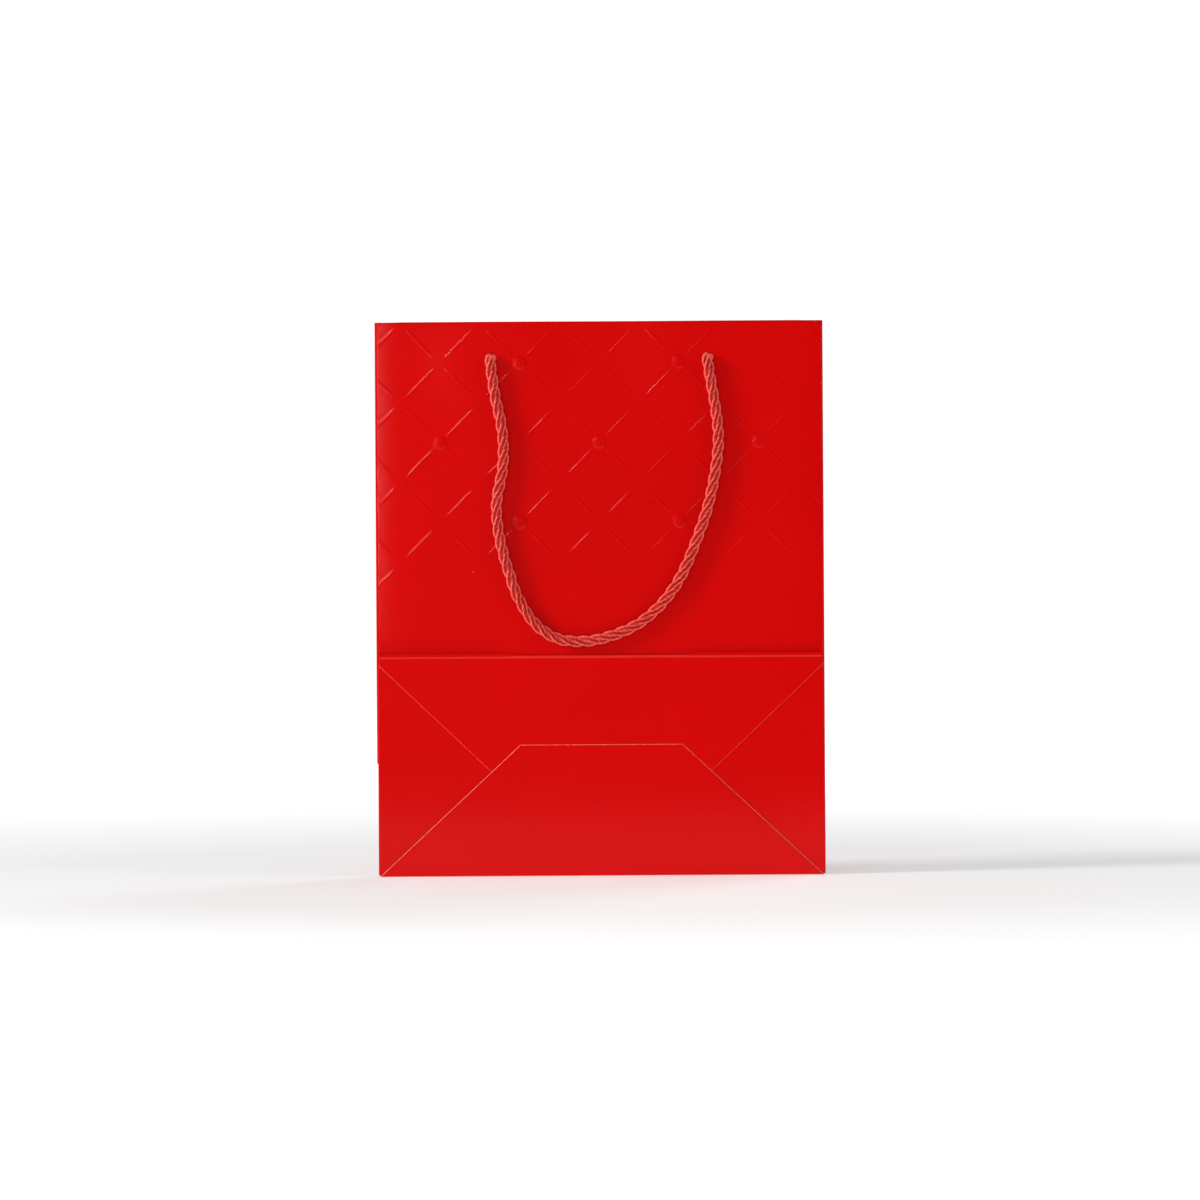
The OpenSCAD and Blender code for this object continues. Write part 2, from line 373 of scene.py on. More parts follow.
def makeCordFinish():  # satin polyester yarn, pale where it turns away: a painted highlight at the rims and painted shade where it faces the view
    material, tree, shader, vector = newMaterial("cordYarnWithPaintedLight", cordFinish["roughness"])
    lay = tree.nodes.new("ShaderNodeAttribute")
    lay.attribute_name = "lay"
    fibres = noiseNode(tree, lay.outputs["Vector"], cordFinish["fibres"], 2.0, 0.6)
    depth = tree.nodes.new("ShaderNodeAttribute")
    depth.attribute_name = "depth"
    # the colour follows the angle to the view: painted highlight at the rims, painted shade where
    # it faces the view
    turned = addNode(tree, "ShaderNodeLayerWeight", Blend=0.5).outputs["Facing"]
    value = mathNode(
        tree, "ADD", rangeNode(tree, fibres, 0.3, 0.7, -0.14, 0.14), turned, clamp=True
    )
    tone = colourRamp(
        tree, value,
        [(0.05, cordFinish["shadedCore"]), (0.20, cordFinish["side"]), (0.38, cordFinish["rim"])],
    )
    # painted shade: darker where the depth values are low, between strands and in yarn grooves
    furrowShadeShare = rangeNode(tree, depth.outputs["Fac"], 0.05, 0.30, 1.0, 0.0)
    tree.links.new(
        mixColour(tree, furrowShadeShare, tone, cordFinish["furrowShade"]), shader.inputs["Base Color"]
    )
    for socket, key in (
        ("Specular IOR Level", "specular"), ("Specular Tint", "shine"),
        ("Sheen Weight", "sheen"), ("Sheen Roughness", "sheenRoughness"),
        ("Sheen Tint", "sheenTint"),
    ):
        shader.inputs[socket].default_value = cordFinish[key]
    addBump(tree, shader, mathNode(tree, "MULTIPLY", fibres, cordFinish["bump"]))
    return material


finish = {
    "red": makeRedFilm("redFilm", redFilm["sheet"]),
    # worn film and a painted highlight on the bottom fold
    "fold": makeRedFilm("wornFoldWithHighlight", redFilm["fold"]),
    "white": makeWhitePaper(),
    "edge": makeCutEdge(),
    "card": makeBoard("greyCard", (0.36, 0.33, 0.29), (0.56, 0.53, 0.48), 420.0),
    "board": makeBoard("whiteBoard", (0.66, 0.64, 0.60), (0.82, 0.81, 0.78), 360.0),
    "cord": makeCordFinish(),
}
print("materials made")

handleRoute = [  # x, share of the bulge that it lies on, drop below the holes, in millimetres
    (-49, 1, 0), (-48.5, 1, 7), (-47, 0.95, 17), (-44.5, 0.4, 29), (-43.5, 0.05, 39),
    (-44, 0, 50), (-46.5, 0, 63), (-46.5, 0, 73), (-44.5, 0, 85), (-41, 0, 97),
    (-37.5, 0, 107), (-30, 0, 119), (-20, 0, 126), (-8, 0, 127.5), (5, 0, 125),
    (18, 0, 119), (29, 0, 109), (37, 0, 97), (43, 0, 83), (48, 0, 69),
    (51.5, 0, 54), (53.5, 0.1, 38), (52.5, 0.7, 24), (50, 1, 9), (49, 1, 0),
]

cord = {
    "diameter": 5.5 * mm,
    "lift": 2.9 * mm,  # of its middle above the panel
    "strands": 3,
    "strandRadius": 1.30 * mm,
    "strandOffset": 1.20 * mm,
    "layLength": 18 * mm,
    "yarns": 5,
    "yarnDepth": 0.07,
    "yarnTurn": 26 * mm,  # length of one turn of the yarns in a strand
    "unevenness": 0.07,
    "unevenScale": 190,
    "ring": 0.8 * mm,
    "sides": 20,
}


def smoothRoute(points, step):  # a curve through the points, stepped evenly
    fine = []
    last = len(points) - 1
    for i in range(last):
        a, b, c, d = (points[max(0, min(last, i + k))] for k in (-1, 0, 1, 2))
        for k in range(24):
            t = k / 24
            fine.append(
                0.5 * (2 * b + (c - a) * t + (2 * a - 5 * b + 4 * c - d) * t * t
                       + (3 * b - a - 3 * c + d) * t ** 3)
            )
    fine.append(points[last])
    travelled = [0.0]
    for i in range(1, len(fine)):
        travelled.append(travelled[-1] + (fine[i] - fine[i - 1]).length)
    count = max(2, round(travelled[-1] / step))
    even, i = [], 0
    for k in range(count + 1):
        target = travelled[-1] * k / count
        while i < len(fine) - 2 and travelled[i + 1] < target:
            i += 1
        share = (target - travelled[i]) / max(1e-9, travelled[i + 1] - travelled[i])
        even.append(fine[i].lerp(fine[i + 1], share))
    return even


def headings(line):
    last = len(line) - 1
    return [(line[min(i + 1, last)] - line[max(i - 1, 0)]).normalized() for i in range(last + 1)]


def makeStrands(name, line, scale=1.0):  # three helical strands laid along a line
    along = headings(line)
    side = along[0].orthogonal().normalized()
    frames, travelled = [], 0.0
    for i, heading in enumerate(along):
        side = (side - heading * side.dot(heading)).normalized()
        if i:
            travelled += (line[i] - line[i - 1]).length
        frames.append((side.copy(), heading.cross(side), travelled))
    points, faces, lay, depth = [], [], [], []
    sides = cord["sides"]
    for strand in range(cord["strands"]):
        first = len(points)
        for i, (across, up, travel) in enumerate(frames):
            place = Vector((travel * cord["unevenScale"], strand * 7.3, 0.4))
            slack = 1 + cord["unevenness"] * noise.noise(place)
            angle = 2 * math.pi * (strand / cord["strands"] + travel / cord["layLength"] / scale)
            out = across * math.cos(angle) + up * math.sin(angle)
            turn = along[i].cross(out)
            centre = line[i] + out * cord["strandOffset"] * scale * slack
            for k in range(sides):
                around = 2 * math.pi * k / sides
                yarn = cord["yarns"] * (around - 2 * math.pi * travel / cord["yarnTurn"])
                ridge = abs(math.cos(yarn / 2)) * 2 - 1
                radius = cord["strandRadius"] * scale * (1 + cord["yarnDepth"] * ridge)
                points.append(
                    centre + out * math.cos(around) * radius + turn * math.sin(around) * radius
                )
                turned = around - yarn * 0.2
                lay.append((travel * 60, math.cos(turned), math.sin(turned)))
                # low where the strand turns in towards the others and in yarn grooves; this is
                # the mask of the painted furrow shade
                depth.append(0.42 + 0.42 * math.cos(around) + 0.2 * ridge)
        for i in range(len(frames) - 1):
            for k in range(sides):
                a, b = first + i * sides + k, first + i * sides + (k + 1) % sides
                faces.append((a, b, b + sides, a + sides))
        faces.append([first + k for k in range(sides)][::-1])
        faces.append([first + (len(frames) - 1) * sides + k for k in range(sides)])
    mesh = bpy.data.meshes.new(name)
    mesh.from_pydata(points, [], faces)
    mesh.attributes.new("lay", "FLOAT_VECTOR", "POINT").data.foreach_set(
        "vector", [number for value in lay for number in value]
    )
    mesh.attributes.new("depth", "FLOAT", "POINT").data.foreach_set("value", depth)
    mesh.materials.append(finish["cord"])
    piece = bpy.data.objects.new(name, mesh)
    bpy.context.scene.collection.objects.link(piece)
    clearSelection()
    piece.select_set(True)
    bpy.context.view_layer.objects.active = piece
    bpy.ops.object.mode_set(mode="EDIT")
    bpy.ops.mesh.select_all(action="SELECT")
    bpy.ops.mesh.normals_make_consistent(inside=False)
    bpy.ops.object.mode_set(mode="OBJECT")
    bpy.ops.object.shade_smooth()
    return piece


def outwards(side, distance):  # y at a distance out from the level face of a panel
    if side > 0:
        return layer["front"] - paper / 2 - distance
    return layer["back"] + paper / 2 + distance


def lengthOf(line):
    return sum((b - a).length for a, b in zip(line, line[1:]))


def handleLine(side):
    route = [
        Vector((
            x * mm, outwards(side, cord["lift"] + share * bulge["rise"][side]),
            hole["z"] - drop * mm,
        ))
        for x, share, drop in handleRoute
    ]
    face = outwards(side, bulge["rise"][side])
    mouth = []
    for x in (-hole["x"], hole["x"]):
        mouth.append([
            Vector((x, face + side * 1.2 * mm, hole["z"] + 0.2 * mm)),
            Vector((x, face - side * 1.5 * mm, hole["z"] + 0.1 * mm)),
            Vector((x, face - side * 3.0 * mm, hole["z"] - 2.2 * mm)),
        ])
    return smoothRoute(mouth[0] + route[1:-1] + mouth[1][::-1], cord["ring"])


knot = {
    "x": 43 * mm,
    "rise": 6.2 * mm,  # above the hole at the front, below it at the back
    "loop": 1.42 * mm,
    "wave": 1.05 * mm,
    "squash": 0.7,  # pressed cord against loose cord
    "start": 0.35,  # where the cord enters and how far it runs round, in radians
    "sweep": 5.6,
    "steps": 30,
}


def makeKnot(name, node, body, side, hand):  # an overhand knot pressed flat under the sheets
    middle = (outwards(1, bulge["rise"][1]) + outwards(-1, bulge["rise"][-1])) / 2
    centre = Vector((hand * knot["x"], middle, hole["z"] + side * knot["rise"]))
    loop = []
    for i in range(knot["steps"] + 1):
        t = knot["start"] + knot["sweep"] * i / knot["steps"]
        loop.append(centre + Vector((
            hand * knot["loop"] * (math.sin(t) + 2 * math.sin(2 * t)),
            side * knot["wave"] * math.sin(3 * t),
            side * knot["loop"] * (math.cos(t) - 2 * math.cos(2 * t)),
        )))
    face = outwards(side, bulge["rise"][side])
    neck = [
        Vector((hand * hole["x"], face - side * 0.3 * mm, hole["z"])),
        Vector((
            hand * (hole["x"] - 0.4 * mm), face + side * 2.0 * mm, hole["z"] + side * 0.8 * mm
        )),
    ]
    piece = makeStrands(name, smoothRoute(neck + loop, cord["ring"] * 0.75), knot["squash"])
    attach(piece, body)
    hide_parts(node)
    return piece


def makeHandle(name, node, body, side):
    knots = [
        makeKnot(f"{name}{label}Knot", f"{body}_{word}_knot", body, side, hand)
        for label, word, hand in (("Right", "right", 1), ("Left", "left", -1))
    ]
    line = handleLine(side)
    piece = makeStrands(name, line)
    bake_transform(piece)
    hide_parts(node)
    print(name, "length", round(lengthOf(line), 4))


makeHandle("frontHandleCord", "front_handle", "front", 1)
makeHandle("backHandleCord", "back_handle", "back", -1)
print("cords laid")

emboss = {
    "cell": 36 * mm,  # between two lines, measured across the bag
    "z": 195.4 * mm,  # height of the middle button
    "fadeLow": 122 * mm,  # the pressing dies away towards the bottom
    "fadeHigh": 156 * mm,
    "lineHeight": 0.13 * mm,
    "lineHalf": 0.75 * mm,
    "gap": 3.5 * mm,  # bare stretch on both sides of a crossing
    "taper": 3.0 * mm,
    "buttonRadius": 3.2 * mm,
    "buttonFlank": 0.9 * mm,
    "buttonHeight": 0.4 * mm,
}
# Where the rows of the embossed grid lie between two lines, in millimetres.
embossRows = [0, 0.3, 0.6, 0.95, 1.3, 1.65, 2.0, 2.35, 2.65, 2.95, 3.3, 4.5, 7.0]


def smoothStep(value):
    value = max(0.0, min(1.0, value))
    return value * value * (3 - 2 * value)


def lineBump(offset, alongside):  # a ridge that fades out before it meets a crossing
    across = max(0.0, 1 - abs(offset) / emboss["lineHalf"])
    fade = smoothStep((abs(alongside) - emboss["gap"]) / emboss["taper"])
    return emboss["lineHeight"] * smoothStep(across) * fade


def embossHeight(x, z):
    pressed = smoothStep((z - emboss["fadeLow"]) / (emboss["fadeHigh"] - emboss["fadeLow"]))
    if not pressed:
        return 0.0
    spacing = emboss["cell"] / math.sqrt(2)
    a = (x + z - emboss["z"]) / math.sqrt(2)
    b = (x - z + emboss["z"]) / math.sqrt(2)
    rowA, rowB = round(a / spacing), round(b / spacing)
    offA, offB = a - rowA * spacing, b - rowB * spacing
    height = lineBump(offA, offB) + lineBump(offB, offA)
    if rowA % 2 == 0 and rowB % 2 == 0:  # a round button with a slightly domed top
        inside = emboss["buttonRadius"] - math.hypot(offA, offB)
        if inside > 0:
            dome = 0.75 + 0.25 * smoothStep(inside / emboss["buttonRadius"])
            height += emboss["buttonHeight"] * dome * smoothStep(inside / emboss["buttonFlank"])
    return height * pressed


def ruledRows(reach):  # rows of the turned grid, close together along each line
    spacing = emboss["cell"] / math.sqrt(2)
    cell = [row * mm for row in embossRows]
    cell = cell + [spacing / 2] + [spacing - row for row in cell[:0:-1]]
    count = math.ceil(reach / spacing)
    return [k * spacing + row for k in range(-count, count) for row in cell] + [count * spacing]


def bulgeHeight(x, z, side):  # what the knots press into the sheets over them
    distance = math.hypot(abs(x) - bulge["x"], z - bulge["z"])
    share = (bulge["reach"] - distance) / (bulge["reach"] - bulge["flat"])
    return bulge["rise"][side] * smoothStep(share)


def startPiece(name):
    piece = bpy.context.object
    piece.name = name
    piece.data.name = name
    return piece


def turnedGrid(name):
    reach = 215 * mm
    rows = ruledRows(reach)
    bpy.ops.mesh.primitive_grid_add(
        x_subdivisions=len(rows) - 1, y_subdivisions=len(rows) - 1, size=2.0
    )
    piece = startPiece(name)
    for vertex in piece.data.vertices:
        a = rows[round((vertex.co.x + 1) / 2 * (len(rows) - 1))]
        b = -rows[round((1 - vertex.co.y) / 2 * (len(rows) - 1))]
        vertex.co.x = (a - b) / math.sqrt(2)
        vertex.co.y = (a + b) / math.sqrt(2) + emboss["z"]
    return piece


def plainGrid(name, low, high, step):
    width, height = high[0] - low[0], high[1] - low[1]
    bpy.ops.mesh.primitive_grid_add(
        x_subdivisions=max(1, round(width / step)), y_subdivisions=max(1, round(height / step)),
        size=1.0, location=((low[0] + high[0]) / 2, (low[1] + high[1]) / 2, 0),
    )
    piece = startPiece(name)
    piece.scale = (width, height, 1)
    bpy.ops.object.transform_apply(location=True, rotation=True, scale=True)
    return piece


def cutAway(cuts):  # each cut is a point and the direction whose side is removed
    bpy.ops.object.mode_set(mode="EDIT")
    for (x, y), (nx, ny) in cuts:
        bpy.ops.mesh.select_all(action="SELECT")
        bpy.ops.mesh.bisect(
            plane_co=(x, y, 0), plane_no=(nx, ny, 0), use_fill=False, clear_outer=True
        )
    bpy.ops.object.mode_set(mode="OBJECT")


def addModifier(piece, kind, **settings):
    modifier = piece.modifiers.new(kind.lower(), kind)
    for name, value in settings.items():
        setattr(modifier, name, value)
    bpy.ops.object.modifier_apply(modifier=modifier.name)


def thickenSheet(piece, outside="red"):  # bare paper inside, cut edge around
    for key in (outside, "white", "edge"):
        piece.data.materials.append(finish[key])
    addModifier(
        piece, "SOLIDIFY", thickness=paper, offset=0.0,
        material_offset=1, material_offset_rim=2,
    )


def punchHoles(piece, rows):  # through the flat sheet, in the panel and in its hem
    for x in (-hole["x"], hole["x"]):
        for row in rows:
            clearSelection()
            bpy.ops.mesh.primitive_cylinder_add(
                vertices=40, radius=hole["radius"], depth=10 * mm, location=(x, row, 0)
            )
            punch = bpy.context.object
            punch.data.materials.append(finish["edge"])
            bpy.context.view_layer.objects.active = piece
            addModifier(piece, "BOOLEAN", operation="DIFFERENCE", object=punch, solver="MANIFOLD")
            bpy.data.objects.remove(punch)


def featherEdge(piece, corners, centre, width):  # the film side ends short of the paper side
    rim = {
        i for face in piece.data.polygons if face.material_index == 2 for i in face.vertices
    }
    for a, b in zip(corners, corners[1:] + corners[:1]):
        if abs(a.x) == abs(b.x) == bag["halfWidth"] or a.y == b.y in (0, fold["z"]):
            continue
        inward = Vector((-(b - a).y, (b - a).x)).normalized()
        if inward.dot(centre - a) < 0:
            inward.negate()
        for i in rim:
            point = piece.data.vertices[i].co
            if point.z > 0 and abs((point.xy - a).dot(inward)) < 0.001 * mm:
                point.xy += inward * width


def layOut(piece, d):  # from the flat sheet to its place in the stack
    side = d["side"]
    radius = d.get("foldRadius", 0)
    straight = bag["top"] - radius - paper / 2
    for vertex in piece.data.vertices:
        x, s, h = vertex.co
        h += d["height"](side * x, s)
        z, out = s, h
        if radius and s > straight:
            angle = min((s - straight) / radius, math.pi)
            beyond = max(0.0, s - straight - math.pi * radius)
            z = straight + (radius + h) * math.sin(angle) - beyond
            out = -radius + (radius + h) * math.cos(angle)
        if d.get("bulges"):
            out += bulgeHeight(x, z, side)
        vertex.co = (side * x, d["y"] - side * out, z)


def finishPiece(piece, d):
    clearSelection()
    piece.select_set(True)
    bpy.context.view_layer.objects.active = piece
    bpy.ops.object.shade_smooth_by_angle(angle=math.radians(35))
    if "body" in d:
        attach(piece, d["body"])
    if "nodes" in d:
        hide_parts(*d["nodes"])


def makeSheet(d):
    clearSelection()
    if d.get("embossed"):
        piece = turnedGrid(d["name"])
    else:
        low = (min(p[0] for p in d["outline"]), min(p[1] for p in d["outline"]))
        high = (max(p[0] for p in d["outline"]), max(p[1] for p in d["outline"]))
        piece = plainGrid(d["name"], low, high, 4 * mm)
    corners = [Vector(p) for p in d["outline"]]
    centre = sum(corners, Vector((0, 0))) / len(corners)
    cuts = []
    for a, b in zip(corners, corners[1:] + corners[:1]):
        normal = Vector(((b - a).y, -(b - a).x))
        if normal.dot(a - centre) < 0:
            normal.negate()
        cuts.append((a, normal.normalized()))
    if d.get("foldRadius"):  # rows close together around the turned-in edge
        addRows(piece, d["foldRadius"])
    cutAway(cuts)
    thickenSheet(piece)
    if "feather" in d:
        featherEdge(piece, corners, centre, d["feather"])
    if "holeRows" in d:
        punchHoles(piece, d["holeRows"])
    layOut(piece, d)
    finishPiece(piece, d)


def addRows(piece, radius):
    bpy.ops.object.mode_set(mode="EDIT")
    for k in range(7):
        row = bag["top"] - radius - paper / 2 + math.pi * radius * k / 6
        bpy.ops.mesh.select_all(action="SELECT")
        bpy.ops.mesh.bisect(plane_co=(0, row, 0), plane_no=(0, 1, 0), use_fill=False)
    bpy.ops.object.mode_set(mode="OBJECT")


def rectangle(x0, x1, s0, s1):
    return [(x0, s0), (x1, s0), (x1, s1), (x0, s1)]


def pastMouth(radius, row=None):  # place along the flat sheet of a row of the hem
    straight = bag["top"] - radius - paper / 2
    return 2 * straight + math.pi * radius - (bag["top"] - bag["hem"] if row is None else row)


panelWave = {"amount": 0.10 * mm, "scale": 14.0, "edge": 13 * mm, "edgeDrop": 0.38 * mm}


def edgeDrop(x):  # the sheet eases down to its side creases
    near = max(0.0, 1 - (bag["halfWidth"] - abs(x)) / panelWave["edge"])
    return panelWave["edgeDrop"] * near * near


def wave(x, z, seed):
    calm = smoothStep((bag["halfWidth"] - abs(x)) / (12 * mm))
    return calm * panelWave["amount"] * noise.noise(
        Vector((x * panelWave["scale"], z * panelWave["scale"], seed))
    )


fold = {"z": bag["depth"] - 2 * mm, "dip": 0.4 * mm, "reach": 13 * mm, "return": 40 * mm}


def foldDip(z):  # the front gives way where the folded bottom lies on it
    if z > fold["z"]:
        near = max(0.0, 1 - (z - fold["z"]) / fold["reach"])
        return fold["dip"] * near * near
    return fold["dip"] * smoothStep(1 - (fold["z"] - z) / fold["return"])


def panelHeight(seed, eased):
    def height(x, s):
        z = min(s, 2 * bag["top"] - s)
        given = edgeDrop(x) + foldDip(z) if eased else 0
        return embossHeight(x, s) + wave(x, z, seed) - given
    return height


def flapHeight(seed, amount):
    def height(x, s):
        return amount * noise.noise(Vector((x * 17, s * 17, seed)))
    return height


def level(x, s):
    return 0.0


w = bag["halfWidth"]
panelFold = bag["foldRadius"]
creaseStep = 0.15 * mm  # between the line of a flat crease and the edges of its sheets
gussetFold = paper / 2
gussetStep = 0.5 * mm  # between a slanted crease and the edge of its sheet

for name, side, bottom, seed in (
    ("front", 1, bag["halfDepth"] + creaseStep, 1.0), ("back", -1, 0, 5.0)
):
    makeSheet({
        "name": f"{name}PanelSheet", "nodes": [f"{name}_panel", f"{name}_top_hem"],
        "body": name, "embossed": True, "side": side, "y": layer[name],
        "foldRadius": panelFold, "bulges": True,
        "holeRows": [hole["z"], pastMouth(panelFold, hole["z"])],
        "outline": rectangle(-w, w, bottom, pastMouth(panelFold)),
        "height": panelHeight(seed, side > 0),
    })
print("panels made")

for hand, label in ((1, "right"), (-1, "left")):
    for half, side in (("back", 1), ("front", -1)):
        reach = pastMouth(gussetFold)
        x0, x1 = side * hand * bag["creaseX"], side * hand * w
        makeSheet({
            "name": f"{label}Gusset{half.capitalize()}Sheet",
            "nodes": [f"{label}_gusset_{half}_half", f"{label}_gusset_{half}_hem"],
            "body": f"{label}_gusset_{half}", "side": side,
            "y": layer["gussetBack" if half == "back" else "gussetFront"],
            "foldRadius": gussetFold, "height": level,
            "outline": [(x1, gussetStep), (x1, reach), (x0, reach),
                        (x0, bag["halfDepth"] + gussetStep)],
        })
    makeSheet({
        "name": f"{label}FootSheet", "nodes": [f"{label}_gusset_foot"],
        "body": f"{label}_foot", "side": -1, "y": layer["foot"], "height": level,
        "outline": [(-hand * w, 0), (-hand * bag["creaseX"], bag["halfDepth"]),
                    (-hand * w, bag["depth"])],
    })
    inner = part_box(f"bottom_{label}_side_flap")[0 if hand > 0 else 1].x
    makeSheet({
        "name": f"{label}BottomFlapSheet", "nodes": [f"bottom_{label}_side_flap"],
        "body": "bottom", "side": 1, "y": layer["sideFlap"],
        "height": flapHeight(3.0 + hand, 0.03 * mm),
        "outline": rectangle(min(inner, hand * w), max(inner, hand * w), 0, bag["depth"]),
    })

makeSheet({
    "name": "frontLowerSheet", "nodes": ["front_lower_panel"], "body": "front_lower",
    "side": -1, "y": layer["lower"], "height": level,
    "outline": rectangle(-w, w, bag["halfDepth"] + creaseStep, fold["z"]),
})

flap = {
    "height": 59 * mm,
    "innerX": 36.6 * mm,
    "frontStart": 94.6 * mm,  # height at which the slanted edges leave the sides
    "frontInnerX": 40 * mm,
    "frontLow": 37.6 * mm,
    "feather": 0.26 * mm,  # pressed and worn edge
}

makeSheet({
    "name": "frontBottomFlapSheet", "nodes": ["bottom_front_flap"], "body": "bottom",
    "side": 1, "y": layer["frontFlap"], "height": flapHeight(7.0, 0.05 * mm),
    "feather": flap["feather"] / 2,
    "outline": [(-w, fold["z"]), (-w, flap["frontStart"]),
                (-flap["frontInnerX"], flap["frontLow"]), (flap["frontInnerX"], flap["frontLow"]),
                (w, flap["frontStart"]), (w, fold["z"])],
})
makeSheet({
    "name": "backBottomFlapSheet", "nodes": ["bottom_back_flap"], "body": "bottom",
    "side": 1, "y": layer["backFlap"], "height": flapHeight(9.0, 0.05 * mm),
    "feather": flap["feather"],
    "outline": [(-w, 0), (w, 0), (flap["innerX"], flap["height"]),
                (-flap["innerX"], flap["height"])],
})
print("gussets and bottom made")


def halfTurn(d):
    middle, radius = (d["ya"] + d["yb"]) / 2, abs(d["ya"] - d["yb"]) / 2
    return [
        (d["at"] + d["out"] * radius * math.sin(angle),
         middle + (d["ya"] - middle) * math.cos(angle))
        for angle in (math.pi * i / 14 for i in range(15))
    ]


def cornerTurn(at, out, y):  # a quarter turn that closes a corner of the open bag
    radius = 0.5 * mm
    return [
        (at + out * radius * math.sin(angle), y - radius * (1 - math.cos(angle)))
        for angle in (math.pi * i / 16 for i in range(9))
    ]


def lapTurn(at, out, y, end):  # a quarter turn that runs on past the next sheet
    reach = 1.25 * mm
    middle = (y + end) / 2
    turn = [
        (at + out * reach * math.sin(angle), middle + (y - middle) * math.cos(angle))
        for angle in (math.pi * i / 16 for i in range(9))
    ]
    return turn + [(at + out * reach, middle + (end - middle) * k / 3) for k in (1, 2, 3)]


def makeCrease(d):  # a half-round turn of the sheet between two layers
    clearSelection()
    low, high = d["span"]
    parts = max(2, round((high - low) / (5 * mm)))
    profile = d["profile"] if "profile" in d else halfTurn(d)
    piece = plainGrid(d["name"], (0, 0), (len(profile) - 1, parts), 1)
    for vertex in piece.data.vertices:
        free, y = profile[round(vertex.co.x)]
        place = low + (high - low) * round(vertex.co.y) / parts
        vertex.co = (free, y, place) if d["along"] == "z" else (place, y, free)
    axis = 0 if d["along"] == "z" else 2
    bulging = sum(face.normal[axis] for face in piece.data.polygons)
    if (bulging * d["out"] > 0) != d["redOutside"]:
        piece.data.flip_normals()
    thickenSheet(piece, d.get("finish", "red"))
    finishPiece(piece, d)
    if "between" in d:
        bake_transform(piece)


frontEdge = layer["front"] + panelWave["edgeDrop"]
tall = (0.6 * mm, bag["top"] - 0.1 * mm)
short = (bag["halfDepth"] + 0.6 * mm, bag["top"] - 0.1 * mm)
for hand, label in ((1, "right"), (-1, "left")):
    makeCrease({
        "name": f"{label}BackCrease", "between": ("back", f"{label}_gusset_back"),
        "along": "z", "at": hand * w, "out": hand, "span": tall, "redOutside": True,
        "ya": layer["back"], "yb": layer["gussetBack"],
    })
    makeCrease({
        "name": f"{label}GussetCrease",
        "between": (f"{label}_gusset_back", f"{label}_gusset_front"),
        "along": "z", "at": hand * bag["creaseX"], "out": -hand, "span": short,
        "redOutside": True, "ya": layer["gussetBack"], "yb": layer["gussetFront"],
    })
    makeCrease({
        "name": f"{label}LowerCorner", "body": "front_lower", "along": "z",
        "at": hand * w, "out": hand, "redOutside": True,
        "span": (bag["halfDepth"] + 0.4 * mm, bag["depth"] - 0.4 * mm),
        "profile": cornerTurn(hand * w, hand, layer["lower"]),
    })
    makeCrease({
        "name": f"{label}FootCrease", "between": ("bottom", f"{label}_foot"),
        "along": "z", "at": hand * w, "out": hand,
        "span": (0.3 * mm, bag["depth"] - 0.3 * mm), "redOutside": True,
        "ya": layer["sideFlap"], "yb": layer["foot"],
    })
makeCrease({
    "name": "rightFrontCrease", "between": ("right_gusset_front", "front"),
    "along": "z", "at": w, "out": 1, "span": short, "redOutside": True,
    "ya": layer["gussetFront"], "yb": frontEdge,
})
makeCrease({
    "name": "leftFrontLap", "body": "front", "along": "z", "at": -w, "out": -1,
    "span": short, "redOutside": True,
    "profile": lapTurn(-w, -1, frontEdge, layer["gussetFront"]),
})
makeCrease({
    "name": "frontLowerCrease", "between": ("front", "front_lower"),
    "along": "x", "at": bag["halfDepth"] + creaseStep, "out": -1, "span": (-w, w),
    "redOutside": False,
    "ya": layer["front"], "yb": layer["lower"],
})
makeCrease({
    # lighter red on this fold: worn film and a painted highlight
    "name": "bottomFrontCrease", "between": ("front_lower", "bottom"), "finish": "fold",
    "along": "x", "at": fold["z"], "out": 1, "span": (-w, w), "redOutside": True,
    "ya": layer["lower"], "yb": layer["frontFlap"],
})


backEdge = {"name": "backBottomEdge", "body": "bottom", "drop": 0.1 * mm, "thin": 0.5}


def makeBackEdge(d):  # the narrow turn under the stack, from the bottom to the back panel
    clearSelection()
    half = w - d["drop"]
    piece = plainGrid(d["name"], (-half, layer["backFlap"]), (half, layer["back"]), 5 * mm)
    thickenSheet(piece)
    for vertex in piece.data.vertices:
        vertex.co.z = -d["drop"] - vertex.co.z * d["thin"]
    piece.data.flip_normals()
    finishPiece(piece, d)


makeBackEdge(backEdge)


cardThickness = 0.5 * mm


def makeCardPiece(name, side):  # stiffening card between a panel and its hem
    clearSelection()
    low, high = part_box(f"{name}_reinforcement_card")
    y = layer[name] + side * (paper + cardThickness) / 2
    piece = plainGrid(f"{name}CardPiece", (low.x, low.z), (high.x, high.z), 2 * mm)
    piece.data.materials.append(finish["card"])
    addModifier(piece, "SOLIDIFY", thickness=cardThickness, offset=0.0)
    punchHoles(piece, [hole["z"]])
    layOut(piece, {"side": side, "y": y, "bulges": True, "height": level})
    finishPiece(piece, {"body": name, "nodes": [f"{name}_reinforcement_card"]})


makeCardPiece("front", 1)
makeCardPiece("back", -1)


def makeBoardPiece():
    clearSelection()
    low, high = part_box("base_board")
    bpy.ops.mesh.primitive_cube_add(size=1, location=(low + high) / 2)
    piece = startPiece("baseBoardPiece")
    piece.scale = high - low
    bpy.ops.object.transform_apply(location=True, rotation=True, scale=True)
    piece.data.materials.append(finish["board"])
    addModifier(piece, "BEVEL", width=0.12 * mm, segments=2)
    finishPiece(piece, {"body": "bottom", "nodes": ["base_board"]})


makeBoardPiece()

seamTab = bpy.data.objects["side_seam_tab"]
seamTab.data.materials.clear()
seamTab.data.materials.append(finish["white"])
print("creases and boards made")

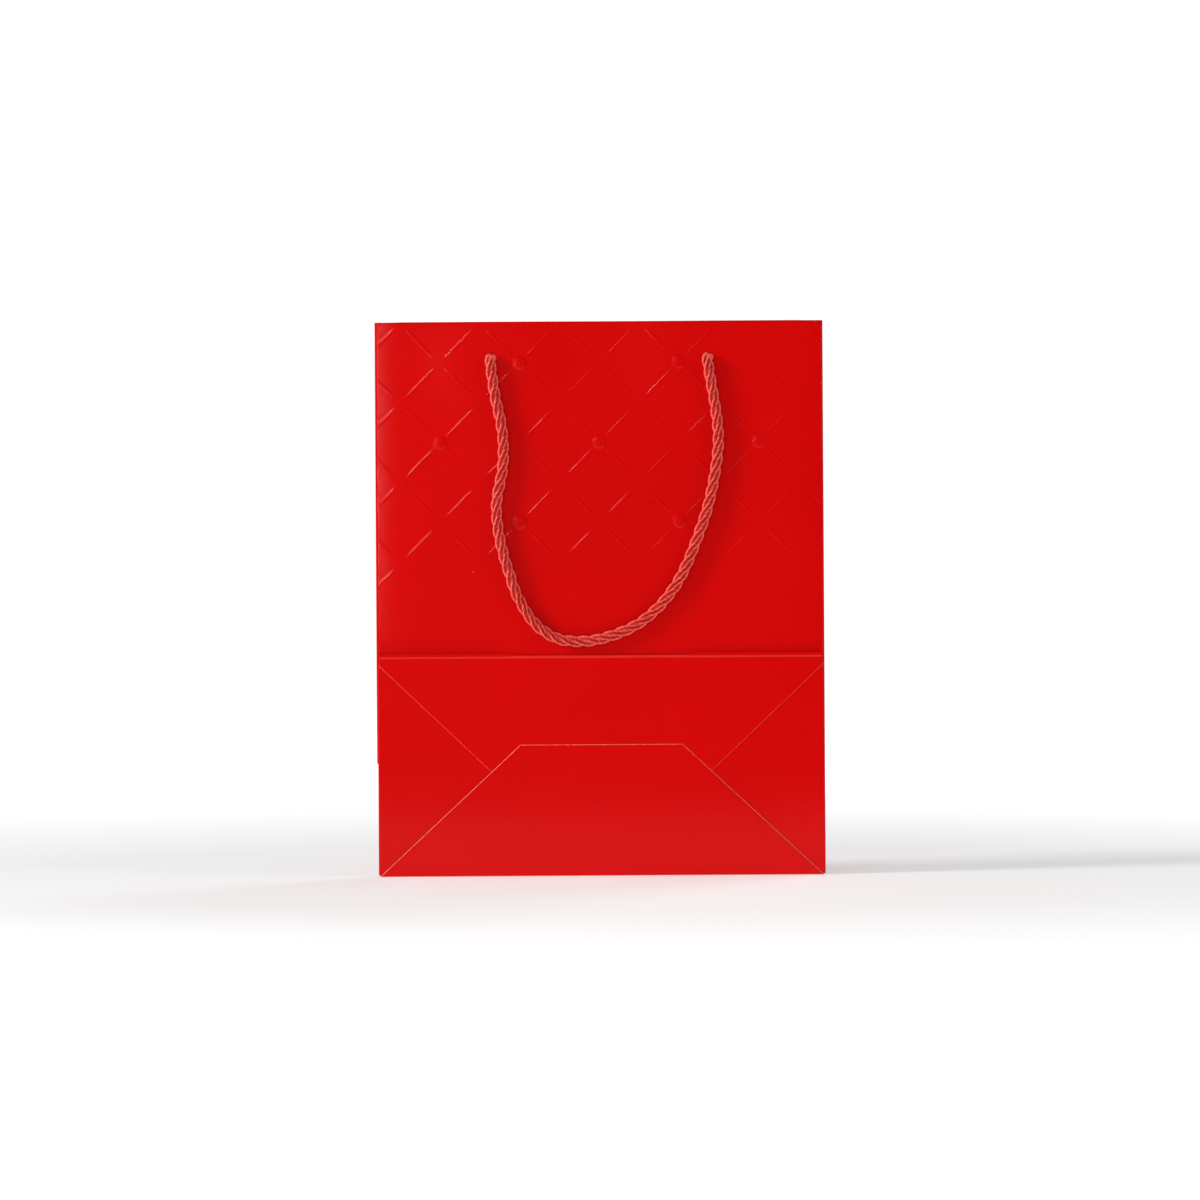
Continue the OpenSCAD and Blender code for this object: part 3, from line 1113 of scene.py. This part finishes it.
light = {
    "sky": 0.26,  # what the white room gives to matt surfaces
    "reflectedSky": 0.015,
    "lamps": [  # name, place, width, height, power
        ("keyLight", (-1.75, -0.85, 0.95), 0.6, 0.6, 27.0),
        ("fillLight", (1.7, -1.1, 0.5), 0.9, 0.9, 8.0),
        ("edgeLight", (-0.50, -2.0, 0.42), 0.16, 0.6, 5.0),
        ("ridgeLight", (-0.62, -1.80, 0.74), 0.34, 0.34, 1.2),
        ("backLight", (1.2, 1.9, 1.2), 0.9, 0.9, 12.0),
    ],
    "aim": Vector((0, 0, 0.13)),
}
ground = {
    "size": (9, 5.7, 1),
    "place": (0, 2.1, -paper),
    "tones": [(0.0, (0.86, 0.86, 0.86)), (1.0, (0.9, 0.9, 0.9))],
    "glow": (0.3, 1.6, 0.36, 1.0),  # from this distance to that, from this strength to that
}


def addLamps():
    for name, place, width, height, power in light["lamps"]:
        clearSelection()
        aim = light["aim"] - Vector(place)
        bpy.ops.object.light_add(
            type="AREA", location=place, rotation=aim.to_track_quat("-Z", "Y").to_euler()
        )
        lamp = bpy.context.object
        lamp.name = name
        lamp.data.shape = "RECTANGLE"
        lamp.data.size = width
        lamp.data.size_y = height
        lamp.data.energy = power


def addStage():
    clearSelection()
    bpy.ops.mesh.primitive_plane_add(size=1, location=ground["place"])
    floor = startPiece("floor")
    floor.scale = ground["size"]
    bpy.ops.object.transform_apply(location=True, rotation=True, scale=True)
    material, tree, shader, vector = newMaterial("paleFloor", 0.7)
    tone = colourRamp(tree, noiseNode(tree, vector, 3.0), ground["tones"])
    tree.links.new(tone, shader.inputs["Base Color"])
    tree.links.new(tone, shader.inputs["Emission Color"])
    length = tree.nodes.new("ShaderNodeVectorMath")
    length.operation = "LENGTH"
    tree.links.new(vector, length.inputs[0])
    glow = rangeNode(tree, length.outputs["Value"], *ground["glow"])
    tree.links.new(glow, shader.inputs["Emission Strength"])
    floor.data.materials.append(material)
    world = bpy.data.worlds.new("softWhite")
    bpy.context.scene.world = world
    world.use_nodes = True
    tree = world.node_tree
    path = tree.nodes.new("ShaderNodeLightPath").outputs
    matt = rangeNode(tree, path["Is Glossy Ray"], 0.0, 1.0, light["sky"], light["reflectedSky"])
    seen = rangeNode(tree, path["Is Camera Ray"], 0.0, 1.0, 0.0, 1.05)
    background = tree.nodes["Background"]
    background.inputs["Color"].default_value = (1, 1, 1, 1)
    tree.links.new(mathNode(tree, "MAXIMUM", matt, seen), background.inputs["Strength"])


addStage()
addLamps()
bpy.context.scene.view_settings.view_transform = "Standard"
